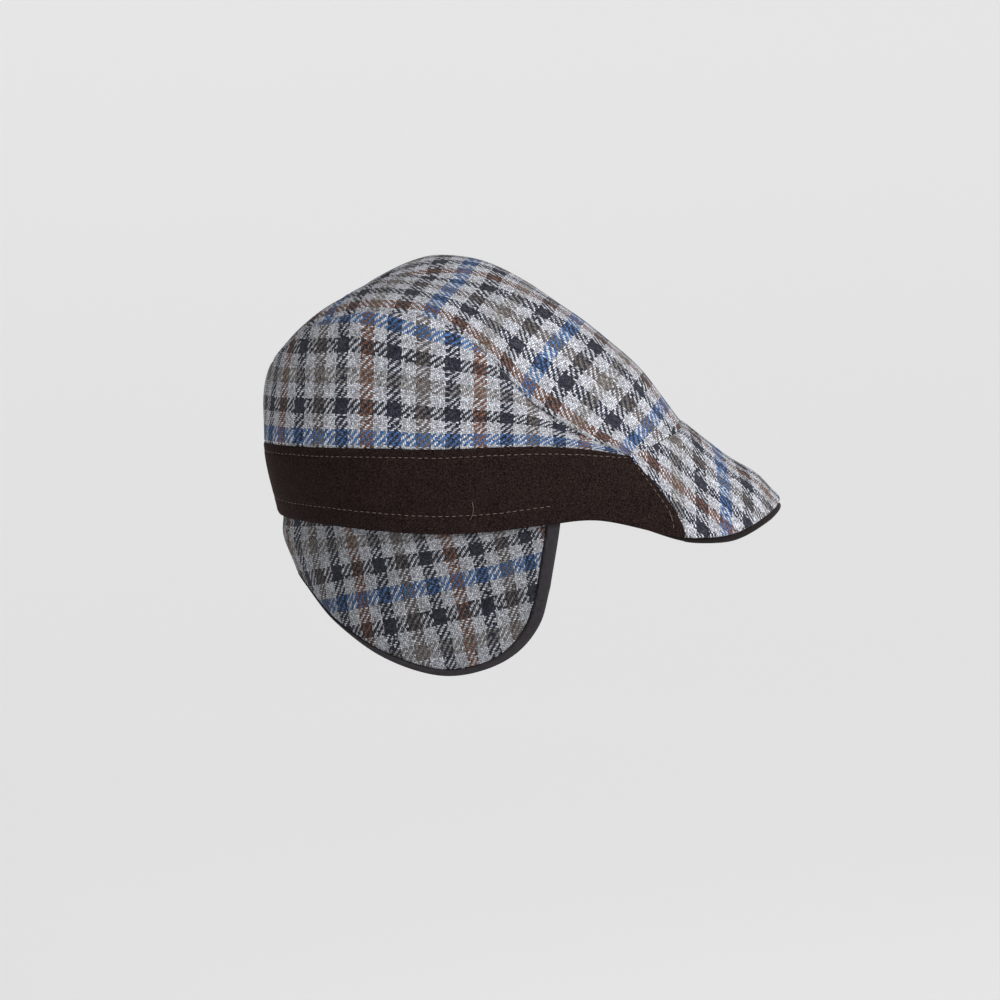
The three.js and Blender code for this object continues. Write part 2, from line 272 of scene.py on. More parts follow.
def tweedGroup():
    tree, start, end = startGroup("checkTweed", [("Cloth", "NodeSocketVector")],
                                  [("Color", "NodeSocketColor"), ("Height", "NodeSocketFloat")])
    split = tree.nodes.new("ShaderNodeSeparateXYZ")
    tree.links.new(start.outputs["Cloth"], split.inputs[0])
    wobbleX = addMath(tree, "SUBTRACT", addNoise(tree, start.outputs["Cloth"], 0.11), 0.5)
    shifted = tree.nodes.new("ShaderNodeVectorMath")
    shifted.operation = "ADD"
    tree.links.new(start.outputs["Cloth"], shifted.inputs[0])
    shifted.inputs[1].default_value = (71.0, 37.0, 0.0)
    wobbleY = addMath(tree, "SUBTRACT", addNoise(tree, shifted.outputs[0], 0.11), 0.5)
    shakeX = addMath(tree, "SUBTRACT", addNoise(tree, start.outputs["Cloth"], 0.5, 3.0, 0.7), 0.5)
    shakeY = addMath(tree, "SUBTRACT", addNoise(tree, shifted.outputs[0], 0.5, 3.0, 0.7), 0.5)
    alongX = addMath(tree, "MULTIPLY_ADD", wobbleX, weave["wobble"],
                     addMath(tree, "MULTIPLY_ADD", shakeX, weave["shake"], split.outputs[0]))
    alongY = addMath(tree, "MULTIPLY_ADD", wobbleY, weave["wobble"],
                     addMath(tree, "MULTIPLY_ADD", shakeY, weave["shake"], split.outputs[1]))
    u = addMath(tree, "DIVIDE", alongX, check["warpPitch"])
    v = addMath(tree, "DIVIDE", alongY, check["weftPitch"])
    i, j = addMath(tree, "FLOOR", u), addMath(tree, "FLOOR", v)
    fu, fv = addMath(tree, "FRACT", u), addMath(tree, "FRACT", v)
    # place in the two-and-two twill
    step = addMath(tree, "FLOORED_MODULO", addMath(tree, "SUBTRACT", i, j), 4)
    warpUp = addMath(tree, "LESS_THAN", step, 1.5)
    hairy = addMath(tree, "LESS_THAN", addRandom(tree, addMath(tree, "ADD", i, 5.7), j), weave["lost"])
    warpUp = addMath(tree, "ABSOLUTE", addMath(tree, "SUBTRACT", warpUp, hairy))

    def roundness(across, along):  # one float, high in its middle
        side = addMath(tree, "POWER", addMath(tree, "SINE", addMath(tree, "MULTIPLY", across, math.pi)), 0.7)
        ends = addMath(tree, "POWER", addMath(tree, "SINE", addMath(tree, "MULTIPLY", along, math.pi)), 0.5)
        return addMath(tree, "MULTIPLY", side, addMath(tree, "MULTIPLY_ADD", ends, 0.7, 0.3))

    warpAlong = addMath(tree, "MULTIPLY", addMath(tree, "ADD", addMath(tree, "SUBTRACT", 1.0, step), fv), 0.5)
    weftAlong = addMath(tree, "MULTIPLY", addMath(tree, "ADD", addMath(tree, "SUBTRACT", step, 2.0), fu), 0.5)
    warpHeight = roundness(fu, addMath(tree, "MINIMUM", addMath(tree, "MAXIMUM", warpAlong, 0.0), 1.0))
    weftHeight = roundness(fv, addMath(tree, "MINIMUM", addMath(tree, "MAXIMUM", weftAlong, 0.0), 1.0))
    height = addMath(tree, "ADD", addMath(tree, "MULTIPLY", warpHeight, warpUp),
                     addMath(tree, "MULTIPLY", weftHeight, addMath(tree, "SUBTRACT", 1.0, warpUp)))

    warpColour = stripeColours(tree, i, check["warp"])
    weftColour = stripeColours(tree, j, check["weft"])

    def coreOf(thread, across, half):  # light yarn is finer, so what it crosses shows beside it
        reach = addMath(tree, "ADD", stripeOf(tree, thread, 2), half)  # every second stripe is tinted
        fromMiddle = addMath(tree, "ABSOLUTE", addMath(tree, "SUBTRACT", across, 0.5))
        return addMath(tree, "LESS_THAN", fromMiddle, reach)

    warpCore, weftCore = coreOf(i, fu, weave["warpCore"]), coreOf(j, fv, weave["weftCore"])
    bareWarp = addMath(tree, "MULTIPLY", warpUp, addMath(tree, "SUBTRACT", 1.0, warpCore))
    fullWeft = addMath(tree, "MULTIPLY", addMath(tree, "SUBTRACT", 1.0, warpUp), weftCore)
    colour = addMix(tree, addMath(tree, "ADD", bareWarp, fullWeft), warpColour, weftColour)
    # uneven yarn: each float's own shade and stray light and dark fibres; painted shade where each float dips
    # at its sides and ends
    shade = addRandom(tree, addMath(tree, "ADD", i, addMath(tree, "MULTIPLY", warpUp, 0.37)), j)
    blend = addRandom(tree, addMath(tree, "ADD", i, 17.3), addMath(tree, "ADD", j, warpUp))
    colour = addMix(tree, addMath(tree, "MULTIPLY", blend, weave["melange"]), colour, srgb(118, 117, 122))
    fibre = addNoise(tree, start.outputs["Cloth"], 1.25, 3.0, 0.75)
    pale = addMath(tree, "MULTIPLY", addMath(tree, "SUBTRACT", fibre, 0.55), 1.6)
    pale = addMath(tree, "MINIMUM", addMath(tree, "MAXIMUM", pale, 0.0), weave["pale"])
    deep = addMath(tree, "MULTIPLY", addMath(tree, "SUBTRACT", 0.5, fibre), 4.0)
    deep = addMath(tree, "MINIMUM", addMath(tree, "MAXIMUM", deep, 0.0), weave["deep"])
    colour = addMix(tree, pale, colour, srgb(190, 189, 193))
    colour = addMix(tree, deep, colour, srgb(64, 62, 66))
    dusty = addNoise(tree, start.outputs["Cloth"], 0.035, 3.0)
    # painted shade: the colour darkens with each float's height, low at its sides and ends; shade and dust
    # vary at random
    light = 1.0
    for value, look in ((shade, "shade"), (height, "depth"), (dusty, "dust")):
        least, more = weave[look]
        light = addMath(tree, "MULTIPLY", light, addMath(tree, "MULTIPLY_ADD", value, more, least))
    grey = addVector(tree, light, light, light)
    colour = addMix(tree, 1.0, colour, grey, "MULTIPLY")
    tree.links.new(colour, end.inputs["Color"])
    tree.links.new(addMath(tree, "MULTIPLY_ADD", fibre, 0.5, height), end.inputs["Height"])
    return tree


# each grain has its scale, detail, roughness and weight
hide = {
    "dark": srgb(7, 4, 4), "light": srgb(54, 40, 37), "middle": 0.28,
    "fine": (1.75, 4.0, 0.8, 8.0), "blotch": (0.09, 3.0, 0.5, 0.4), "stroke": (0.55, 2.0, 0.6, 0.5),
}


def napGroup():
    tree, start, end = startGroup("suedeNap", [("Hide", "NodeSocketVector")],
                                  [("Color", "NodeSocketColor"), ("Height", "NodeSocketFloat")])
    mottle, grain = hide["middle"], {}
    for name in ("fine", "blotch", "stroke"):
        scale, detail, roughness, weight = hide[name]
        grain[name] = addNoise(tree, start.outputs["Hide"], scale, detail, roughness)
        mottle = addMath(tree, "MULTIPLY_ADD", addMath(tree, "SUBTRACT", grain[name], 0.5), weight, mottle)
    mottle = addMath(tree, "MINIMUM", addMath(tree, "MAXIMUM", mottle, 0.0), 1.0)
    tree.links.new(addMix(tree, mottle, hide["dark"], hide["light"]), end.inputs["Color"])
    tree.links.new(addMath(tree, "ADD", grain["fine"], grain["stroke"]), end.inputs["Height"])
    return tree


def twillGroup():
    tree, start, end = startGroup("fineTwill", [("Cloth", "NodeSocketVector"), ("Pitch", "NodeSocketFloat")],
                                  [("Height", "NodeSocketFloat"), ("Shade", "NodeSocketFloat")])
    split = tree.nodes.new("ShaderNodeSeparateXYZ")
    tree.links.new(start.outputs["Cloth"], split.inputs[0])
    slant = addMath(tree, "ADD", split.outputs[0], split.outputs[1])
    slant = addMath(tree, "DIVIDE", slant, start.outputs["Pitch"])
    rib = addMath(tree, "SINE", addMath(tree, "MULTIPLY", slant, 2 * math.pi))
    fuzz = addNoise(tree, start.outputs["Cloth"], 1.9, 3.0, 0.7)
    cloudAndRibShade = addNoise(tree, start.outputs["Cloth"], 0.35, 3.0, 0.6)
    tree.links.new(addMath(tree, "MULTIPLY_ADD", rib, 0.4, fuzz), end.inputs["Height"])
    # painted shade: the colour darkens in the grooves between the twill ribs; the cloud and fuzz are the
    # cloth's own mottle
    cloudAndRibShade = addMath(tree, "MULTIPLY_ADD", rib, 0.12, addMath(tree, "MULTIPLY", cloudAndRibShade, 0.9))
    shade = addMath(tree, "ADD", cloudAndRibShade, addMath(tree, "MULTIPLY_ADD", fuzz, 0.7, 0.2))
    tree.links.new(shade, end.inputs["Shade"])
    return tree


def startMaterial(name):
    material = bpy.data.materials.new(name)
    material.use_nodes = True
    tree = material.node_tree
    return material, tree, tree.nodes["Principled BSDF"]


def addBump(tree, height, shader, strength, distance):
    node = tree.nodes.new("ShaderNodeBump")
    node.inputs["Strength"].default_value = strength
    node.inputs["Distance"].default_value = distance
    tree.links.new(height, node.inputs["Height"])
    tree.links.new(node.outputs["Normal"], shader.inputs["Normal"])


def clothUv(tree):
    node = tree.nodes.new("ShaderNodeUVMap")
    node.uv_map = "cloth"
    return node.outputs["UV"]


def useGroup(tree, group, vector):
    node = tree.nodes.new("ShaderNodeGroup")
    node.node_tree = group
    tree.links.new(vector, node.inputs[0])
    return node


def tweedMaterial(name, toneAndPaintedShade):
    material, tree, shader = startMaterial(name)
    cloth = useGroup(tree, tweedWeave, clothUv(tree))
    # the tweed's colour times a grey: the cloth's own tone, and on the flap painted shade
    tree.links.new(addMix(tree, 1.0, cloth.outputs["Color"], (toneAndPaintedShade, toneAndPaintedShade, toneAndPaintedShade), "MULTIPLY"),
                   shader.inputs["Base Color"])
    shader.inputs["Roughness"].default_value = 0.95
    shader.inputs["Specular IOR Level"].default_value = 0.15
    shader.inputs["Sheen Weight"].default_value = 0.04
    shader.inputs["Sheen Roughness"].default_value = 0.6
    addBump(tree, cloth.outputs["Height"], shader, 0.7, 0.0006)
    return material


def suedeMaterial():
    material, tree, shader = startMaterial("suede")
    where = tree.nodes.new("ShaderNodeTexCoord")
    inMm = tree.nodes.new("ShaderNodeVectorMath")
    inMm.operation = "SCALE"
    inMm.inputs["Scale"].default_value = 1 / mm
    tree.links.new(where.outputs["Object"], inMm.inputs[0])
    nap = useGroup(tree, napGroup(), inMm.outputs[0])
    tree.links.new(nap.outputs["Color"], shader.inputs["Base Color"])
    shader.inputs["Roughness"].default_value = 0.95
    shader.inputs["Specular IOR Level"].default_value = 0.1
    shader.inputs["Sheen Weight"].default_value = 0.08
    shader.inputs["Sheen Roughness"].default_value = 0.45
    shader.inputs["Sheen Tint"].default_value = (*srgb(150, 110, 90), 1.0)
    addBump(tree, nap.outputs["Height"], shader, 0.35, 0.0003)
    return material


def plainCloth(name, colour, pitch):
    material, tree, shader = startMaterial(name)
    cloth = useGroup(tree, twill, clothUv(tree))
    cloth.inputs["Pitch"].default_value = pitch
    # the twill's Shade holds painted shade in the rib grooves, besides the cloth's own mottle
    shade = cloth.outputs["Shade"]
    tree.links.new(addMix(tree, 1.0, colour, addVector(tree, shade, shade, shade), "MULTIPLY"),
                   shader.inputs["Base Color"])
    shader.inputs["Roughness"].default_value = 0.9
    shader.inputs["Specular IOR Level"].default_value = 0.15
    shader.inputs["Sheen Weight"].default_value = 0.05
    addBump(tree, cloth.outputs["Height"], shader, 0.4, 0.0003)
    return material


def threadMaterial(name, colour):
    material, tree, shader = startMaterial(name)
    where = tree.nodes.new("ShaderNodeTexCoord")
    ply = addNoise(tree, where.outputs["Object"], 900.0, 2.0)
    tree.links.new(addMix(tree, ply, tuple(0.6 * c for c in colour), colour), shader.inputs["Base Color"])
    shader.inputs["Roughness"].default_value = 0.7
    addBump(tree, ply, shader, 0.4, 0.0002)
    return material


tweedWeave = tweedGroup()
twill = twillGroup()
materials = {
    "tweed": tweedMaterial("tweed", 0.92),
    "flapTweedPaintedShade": tweedMaterial("flapTweedPaintedShade", 0.58),  # painted shade: a darker copy of the tweed stands in for the shade the flap hangs in
    "suede": suedeMaterial(),
    "peakCloth": plainCloth("peakCloth", srgb(28, 22, 21), 0.9),
    "edgeCloth": plainCloth("edgeCloth", srgb(47, 44, 47), 0.8),
    "thread": threadMaterial("thread", srgb(120, 106, 96)),
}
print("materials ready")


def clothPiece(name, piece, place, skin, lift, cloth, left=False):
    bm = bmesh.new()
    bmesh.ops.create_grid(bm, x_segments=piece["columns"], y_segments=piece["rows"], size=0.5)
    uvLayer = bm.loops.layers.uv.new("cloth")
    deep = bm.verts.layers.float.new("deep")
    facing = bm.verts.layers.float_vector.new("facing")
    spot, flat = {}, {}
    for v in bm.verts:
        spot[v] = place(v.co.x + 0.5, v.co.y + 0.5)
        v.co = skin(*spot[v])
    bm.normal_update()
    if sum(f.normal.dot(f.calc_center_median() - insidePoint) for f in bm.faces) < 0:
        bmesh.ops.reverse_faces(bm, faces=bm.faces[:])
        bm.normal_update()
    for v in bm.verts:
        flat[v] = cloth(*spot[v], v.co)
        v[facing] = piece["facing"](*spot[v]) if "facing" in piece else v.normal
        v[deep] = piece["wall"](*spot[v]) if callable(piece["wall"]) else piece["wall"]
    for f in bm.faces:
        for loop in f.loops:
            loop[uvLayer].uv = flat[loop.vert]
    for v in bm.verts:
        v.co += v[facing] * lift(*spot[v], v.co)
    shell = bmesh.ops.extrude_face_region(bm, geom=bm.faces[:])["geom"]
    for v in [g for g in shell if isinstance(g, bmesh.types.BMVert)]:
        v.co -= v[facing] * v[deep]
    if left:
        bmesh.ops.scale(bm, vec=(1, -1, 1), verts=bm.verts[:])
    bmesh.ops.scale(bm, vec=(mm, mm, mm), verts=bm.verts[:])
    bmesh.ops.recalc_face_normals(bm, faces=bm.faces[:])
    return addPiece(name, bm, piece["material"], piece["node"])


def addPiece(name, bm, material, node=None):
    mesh = bpy.data.meshes.new(name)
    bm.to_mesh(mesh)
    bm.free()
    mesh.shade_smooth()
    mesh.set_sharp_from_angle(angle=math.radians(55))
    mesh.materials.append(materials[material])
    piece = bpy.data.objects.new(name, mesh)
    scene.collection.objects.link(piece)
    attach(piece, "root")
    if node:
        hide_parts(node)
    return piece


def clothArea(piece):  # half the closed skin, in square metres
    return sum(p.area for p in piece.data.polygons) / 2


def wander(p, size, depth):  # the soft unevenness of a sewn cloth, in mm
    return depth * noise.noise(p / size)


sectionRun = {"back": 36, "peak": 27, "bandFront": 26}  # mm that a section takes there


def seamRoll(distance, depth=1.0, width=2.6):  # cloth turning down into a seam
    return -depth * (1 - smooth(0.0, width, distance)) ** 1.5


def swell(look, along, across):  # a soft rise with its middle and reach both ways
    return look["depth"] * bump(along, *look["along"]) * bump(across, *look["across"])


def flipped(cloth, flip):  # the same cloth, with its warp turned round where flip is -1
    def turned(a, b, p):
        u, v = cloth(a, b, p)
        return flip * u, v
    return turned


overhangFrom = (4.5, 6.5)  # sections where the top panels begin to hang over the side seam

# how far the cloth has run along each line of the crown, counted from one section
weftStart = 6.0
runs = {name: arcTable(lambda share, name=name: onLine(name, share * lastSection))
        for name in ("sideSeam", "stripSeam", "ridge")}


def runOn(name, section):
    return readTable(runs[name], section / lastSection) - readTable(runs[name], weftStart / lastSection)


# side panels
sideLook = {
    "columns": 170, "rows": 44, "wall": 2.0, "material": "tweed", "slot": "tweed",
    "end": 7.97, "rustAt": -38.0, "blueAt": 5.5, "axisX": -2.0, "ease": 0.89,
    "seamDepth": (1.0, 0.45), "bandSeam": (0.5, 1.6),  # at the back and the front, depth and width
    "uneven": (26, 0.5),  # size and depth
    "sag": {"depth": 1.9, "along": (6.3, 0.9), "across": (1.6, 0.32)},  # below the overhang
    "fold": {"depth": 1.5, "along": (12, 34), "up": 22, "fall": 0.16, "from": -26, "soft": 7.0, "sharp": 1.3},
    "closer": {"from": -50, "rate": 0.004, "least": 0.5},  # the weft lies closer towards the front
}
sideTurn = []  # angle about the axis and running length, from the side to the centre back
for k in range(120, -1, -1):
    p = onLine("bandTop", k * 0.05)
    angle = math.atan2(sideLook["axisX"] - p.x, -p.y)
    if angle >= 0:
        runSoFar = 0.0 if not sideTurn else sideTurn[-1][1] + (p - sideTurn[-1][2]).length
        sideTurn.append((angle, runSoFar, p))


def sideRun(p):  # cloth run along the panel, positive to the front
    if p.x >= sideLook["axisX"]:
        return p.x - sideLook["axisX"]
    angle = math.atan2(sideLook["axisX"] - p.x, max(-p.y, 0.0))
    inner = math.hypot(p.x - sideLook["axisX"], p.y)
    for (a0, r0, _), (a1, r1, q) in zip(sideTurn, sideTurn[1:]):
        if angle <= a1 or a1 == sideTurn[-1][0]:
            share = inner / math.hypot(q.x - sideLook["axisX"], q.y)
            return -sideLook["ease"] * share * mix(r0, r1, (angle - a0) / max(a1 - a0, 1e-6))


def sidePlace(s, t):
    return s * sideLook["end"], 1 + t


def sideLift(section, across, p):
    tall = (crownSkin(section, 2) - crownSkin(section, 1)).length
    seam = min((2 - across) * tall, section * sectionRun["back"])
    fold = sideLook["fold"]  # a shallow fold that runs forward
    above = (across - 1) * tall - fold["up"] + fold["fall"] * (p.x - fold["from"])
    flank = fold["soft"] if above > 0 else fold["sharp"]
    sag = swell(sideLook["sag"], section, across)
    sag -= fold["depth"] * bump(p.x, *fold["along"]) * bump(above, 0, flank)
    roll = seamRoll(seam, mix(*sideLook["seamDepth"], smooth(*overhangFrom, section)))
    roll += seamRoll((across - 1) * tall, *sideLook["bandSeam"])
    return roll + wander(p, *sideLook["uneven"]) - sag


def sideCloth(section, across, p):
    closer = sideLook["closer"]
    space = min(1.0, max(closer["least"], 1 - closer["rate"] * (p.x - closer["from"])))
    up = (p - onLine("bandTop", section)).length / space
    along = sideRun(p) + sideLook["axisX"] - sideLook["rustAt"]
    return along + lastWarp, up - sideLook["blueAt"] + lastWeft


for hand in ("right", "left"):
    sideLook["node"] = "crown_side_" + hand
    left = hand == "left"
    side = clothPiece("crownSide" + hand.title(), sideLook, sidePlace, crownSkin, sideLift,
                      flipped(sideCloth, -1 if left else 1), left)
    print("side", hand, "area", round(clothArea(side), 5))

# top panels, fuller than the sides and hanging over the side seam at the front
topLook = {
    "columns": 170, "rows": 42, "wall": 2.0, "material": "tweed", "slot": "tweed",
    "width": 48.0, "rustAt": -0.5, "blueAt": 11.0, "weftLean": 16.0,
    "seamDepth": (1.0, 0.5), "seam": (0.6, 2.0), "uneven": (24, 0.6),
    "overhang": {"depth": 3.1, "along": (6.6, 1.0), "across": (2.3, 0.32)},
    "fold": {"depth": 0.9, "along": (7.55, 0.16), "across": (2.25, 0.3)},
}


def topPlace(s, t):
    return s * lastSection, 2 + t


def topLift(section, across, p):
    wide = (crownSkin(section, 3) - crownSkin(section, 2)).length
    seam = seamRoll(min((3 - across) * wide, section * sectionRun["back"]), *topLook["seam"])
    seam += seamRoll((across - 2) * wide, mix(*topLook["seamDepth"], smooth(*overhangFrom, section)))
    full = swell(topLook["overhang"], section, across)
    fold = swell(topLook["fold"], section, across)
    return seam + full + fold + wander(p, *topLook["uneven"])


def topCloth(section, across, p):
    along = mix(runOn("sideSeam", section) + topLook["weftLean"], runOn("stripSeam", section), across - 2)
    return ((across - 2) * topLook["width"] - topLook["rustAt"] + lastWarp,
            along - topLook["blueAt"] + lastWeft)


for hand in ("right", "left"):
    topLook["node"] = "crown_top_" + hand
    left = hand == "left"
    top = clothPiece("crownTop" + hand.title(), topLook, topPlace, crownSkin, topLift,
                     flipped(topCloth, 1 if left else -1), left)
    print("top", hand, "area", round(clothArea(top), 5))

# centre strip, tapering to the back
stripLook = {
    "columns": 150, "rows": 64, "wall": 2.0, "material": "tweed", "slot": "tweed",
    "node": "crown_strip", "start": 0.03, "halfWidth": 46.0, "seam": (0.6, 2.0), "uneven": (26, 0.5),
}


def stripPlace(s, t):
    return mix(stripLook["start"], lastSection, s), 3 + 2 * t


def stripLift(section, across, p):
    wide = (crownSkin(section, 4) - crownSkin(section, 3)).length
    seam = min(across - 3, 5 - across) * wide
    return seamRoll(seam, *stripLook["seam"]) + wander(p, *stripLook["uneven"])


def stripCloth(section, across, p):
    along = mix(runOn("stripSeam", section), runOn("ridge", section), 1 - abs(across - 4))
    return (topLook["rustAt"] - topLook["width"] - stripLook["halfWidth"] - p.y - lastWarp,
            along - topLook["blueAt"] + lastWeft)


strip = clothPiece("crownStrip", stripLook, stripPlace, crownSkin, stripLift, stripCloth)
print("strip area", round(clothArea(strip), 5))

# peak: the cover, and the stiff lining that stands below its edge
peakLook = {
    "columns": 170, "rows": 46, "wall": 2.0, "material": "tweed", "slot": "tweed",
    "node": "peak_cover", "bow": 0.22, "gap": 0.004, "tallAtCrease": 45, "tallAtEdge": 50,
    "crease": (1.3, 3.0), "sideSeam": (0.5, 1.5), "edgeSeam": (0.5, 1.4), "uneven": (30, 0.35),
    "full": 2.0, "fullAt": (0.25, 0.16),  # the cloth rolls over towards the edge
    "slope": 1.26, "ridgeFall": 0.764, "shift": (10.9, 25.0), "archEase": 0.1, "archRun": 83,
}


def bandFront(height):
    return lastSection + peakLook["bow"] * 4 * height * (1 - height)


def peakPlace(s, t):
    side = bandFront(t) + peakLook["gap"]
    return mix(side, 2 * tip - side, s), t


def peakLift(section, height, p):
    near = min(section - bandFront(height), 2 * tip - section - bandFront(height)) * sectionRun["peak"]
    middle = smooth(0.15, 0.5, 1 - abs(section - tip) / (tip - lastSection))
    depth, width = peakLook["crease"]
    roll = seamRoll((1 - height) * peakLook["tallAtCrease"], depth * middle, width)
    roll += peakLook["full"] * middle * bump(height, *peakLook["fullAt"])
    roll += seamRoll(near, *peakLook["sideSeam"])
    roll += seamRoll(height * peakLook["tallAtEdge"], *peakLook["edgeSeam"])
    return roll + wander(p, *peakLook["uneven"])


def peakCloth(section, height, p):
    ridgeHeight = peakEdge[-1].z + peakLook["ridgeFall"] * (peakEdge[-1].x - p.x)
    chord = math.hypot(p.y, ridgeHeight - p.z)
    ease = 1 + peakLook["archEase"] * (chord / peakLook["archRun"]) ** 2
    run = math.copysign(chord * ease, p.y)  # round the arch from the ridge
    along = runOn("ridge", lastSection) + peakLook["slope"] * (p.x - onLine("ridge", lastSection).x)
    over, on = peakLook["shift"]
    return (topLook["rustAt"] - topLook["width"] - stripLook["halfWidth"] - run + over - lastWarp,
            along + on - topLook["blueAt"] + lastWeft)


peak = clothPiece("peakCover", peakLook, peakPlace, lowerSkin, peakLift, peakCloth)
print("peak area", round(clothArea(peak), 5))

boardLook = {
    "columns": 150, "rows": 40, "wall": 2.6, "material": "peakCloth", "slot": "dark_twill",
    "node": "peak_lining", "start": 7.35, "lip": 3.2, "short": 0.4, "face": -2.6,
    "rootAtSides": 0.72, "rootAtTip": 1.12, "bead": (0.3, 1.2, 1.4), "round": (0.6, 0, 0.7),
}


def boardSize(section):  # mm of one height, share of the way to the tip and mm of lip there
    tall = (lowerSkin(section, 0.21) - lowerSkin(section, 0.19)).length / 0.02
    share = 1 - abs(section - tip) / (tip - boardLook["start"])
    return tall, share, boardLook["lip"] * smooth(0.0, 0.25, share) - boardLook["short"]


def boardPlace(s, t):
    section = mix(boardLook["start"], 2 * tip - boardLook["start"], s)
    tall, share, lip = boardSize(section)
    return section, mix(-lip / tall, mix(boardLook["rootAtSides"], boardLook["rootAtTip"], share), t)


def boardLift(section, height, p):
    tall, _, lip = boardSize(section)
    edge = height * tall + lip
    bead, *beadAt = boardLook["bead"]
    turn, *turnAt = boardLook["round"]
    return boardLook["face"] + bead * bump(edge, *beadAt) - turn * bump(edge, *turnAt)


board = clothPiece("peakLining", boardLook, boardPlace, lowerSkin, boardLift,
                   lambda a, b, p: (p.y * 1.1, p.x * 1.2))
print("peak lining area", round(clothArea(board), 5))

# suede band
bandLook = {
    "columns": 300, "rows": 60, "wall": 1.8, "material": "suede", "slot": "suede",
    "node": "band", "topStitch": 4.0, "lowStitch": 9.5, "frontStitch": 4.2, "lowStitchEnd": 6.2,
    "topGroove": (0.35, 0.8), "lowGroove": (0.3, 0.8), "frontGroove": (0.3, 0.9), "turned": (0.45, 0.9),
    "proud": 0.5, "uneven": (34, 0.4), "upTo": 0.996, "tall": 42,
}
rimRun = arcTable(lambda share: onLine("rim", share * lastSection))


def bandPlace(s, t):
    height = t * bandLook["upTo"]
    front = bandFront(height)
    return mix(-front, front, s), height


def bandTall(section):
    return (lowerSkin(section, 1) - lowerSkin(section, 0)).length


def bandEdges(section, height):  # mm to the upper, lower and front edges
    tall = bandTall(min(abs(section), lastSection))
    return (1 - height) * tall, height * tall, (bandFront(height) - abs(section)) * sectionRun["bandFront"]


def grooveAt(row, distance):  # where a row of stitches pulls the suede in
    depth, width = bandLook[row + "Groove"]
    return depth * bump(distance, bandLook[row + "Stitch"], width)


def bandLift(section, height, p):
    upper, lower, front = bandEdges(section, height)
    groove = grooveAt("top", upper)
    if abs(section) < bandLook["lowStitchEnd"] + 0.1:
        groove += grooveAt("low", lower)
    groove += grooveAt("front", front)
    depth, width = bandLook["turned"]
    turned = depth * (bump(upper, 0, width) + bump(lower, 0, width) + bump(front, 0, width))
    return bandLook["proud"] - groove - turned + wander(p, *bandLook["uneven"])


def bandCloth(section, height, p):
    run = readTable(rimRun, abs(section) / lastSection)
    return math.copysign(run, section), height * bandLook["tall"]


band = clothPiece("suedeBand", bandLook, bandPlace, lowerSkin, bandLift, bandCloth)
print("band area", round(clothArea(band), 5))

# ear flap, hung inside the band from ear to ear, and its lining with the turned edge
flapEdge = {
    0: (-85, 0, -33), 1: (-78, -28, -37), 2: (-62, -50, -51), 3: (-38, -61, -67), 4: (-6, -64, -77),
    5: (18, -66, -73), 5.6: (34, -66, -64), 6: (45, -68, -49), 6.32: (50, -70, -30),
}
flapLook = {
    "columns": 240, "rows": 60, "wall": 2.0, "material": "flapTweedPaintedShade", "slot": "tweed",
    "node": "ear_flap", "tuck": 0.26, "front": 6.32, "rim": 0.16, "middle": 0.55, "behindBand": 2.4,
    "backEdge": 1.5, "sideEdge": 3.6, "frontEdge": 7.2, "frontTall": 80,  # mm of turned edge, mm of one drop
    "seam": (0.7, 1.8), "uneven": (30, 0.6), "full": 2.8, "fullest": 0.5, "fullTo": (0.8, 2.8),
    "lean": math.tan(math.radians(11.5)), "leanFrom": 70.0, "rustAt": (1.7, 27.0), "blueAt": (-6.0, 32.5),
    "facing": lambda section, down: normalOn(flapSkin, section, min(down, 0.98)),
}
edgeStops = list(flapEdge)
edgePoints = [Vector(flapEdge[k]) for k in edgeStops]
edgeRing = [mirrored(edgePoints[2]), mirrored(edgePoints[1])] + edgePoints


def flapEdgeAt(section):
    k = next((n for n in range(1, len(edgeStops)) if edgeStops[n] >= section), len(edgeStops) - 1)
    place = k - 1 + (section - edgeStops[k - 1]) / (edgeStops[k] - edgeStops[k - 1])
    return batten(edgeRing, (place + 2) / (len(edgeRing) - 1))


@lru_cache(maxsize=None)
def flapHang(section):
    def inside(height):
        normal = normalOn(lowerSkin, section, height + 0.01)
        return lowerSkin(section, height) - normal * flapLook["behindBand"]
    return inside(flapLook["tuck"]), inside(0.0), flapEdgeAt(section)


def flapSkin(section, down):
    if section < 0:
        return mirrored(flapSkin(-section, down))
    points = flapHang(min(section, flapLook["front"]))
    rim = flapLook["rim"]
    share = down / rim if down < rim else 1 + (down - rim) / (1 - rim)
    return batten(list(points), share / 2)


flapRun = arcTable(lambda share: flapSkin(share * flapLook["front"], flapLook["middle"]))


@lru_cache(maxsize=None)
def flapDrop(section):
    return (flapSkin(section, 1) - flapSkin(section, flapLook["rim"])).length


def lowEdge(section):  # width of the turned edge, narrow at the back and wide at the front
    back = mix(flapLook["backEdge"], flapLook["sideEdge"], smooth(1.6, 3.6, section))
    return mix(back, flapLook["frontEdge"], smooth(4.7, 6.5, section))


def edgeFinder(points):  # finds the nearest of many points along an edge
    tree = KDTree(len(points))
    for k, p in enumerate(points):
        tree.insert(p, k)
    tree.balance()
    return tree


lowPath = [flapLook["front"] * k / 900 for k in range(-60, 901)]
frontPath = [k / 240 for k in range(240, -60, -1)]
lowFinder = edgeFinder([flapSkin(section, 1) for section in lowPath])
frontFinder = edgeFinder([flapSkin(flapLook["front"], max(down, 0.0))
                          + Vector((0, 0, max(-down, 0.0) * flapLook["frontTall"])) for down in frontPath])


def edgeGap(section, down):  # mm from the turned edge's inner line, and from the two edges
    p = flapSkin(abs(section), down)
    _, k, low = lowFinder.find(p)
    width = lowEdge(abs(lowPath[k]))
    front = frontFinder.find(p)[2]
    return min(low - width, front - flapLook["frontEdge"]), low, front


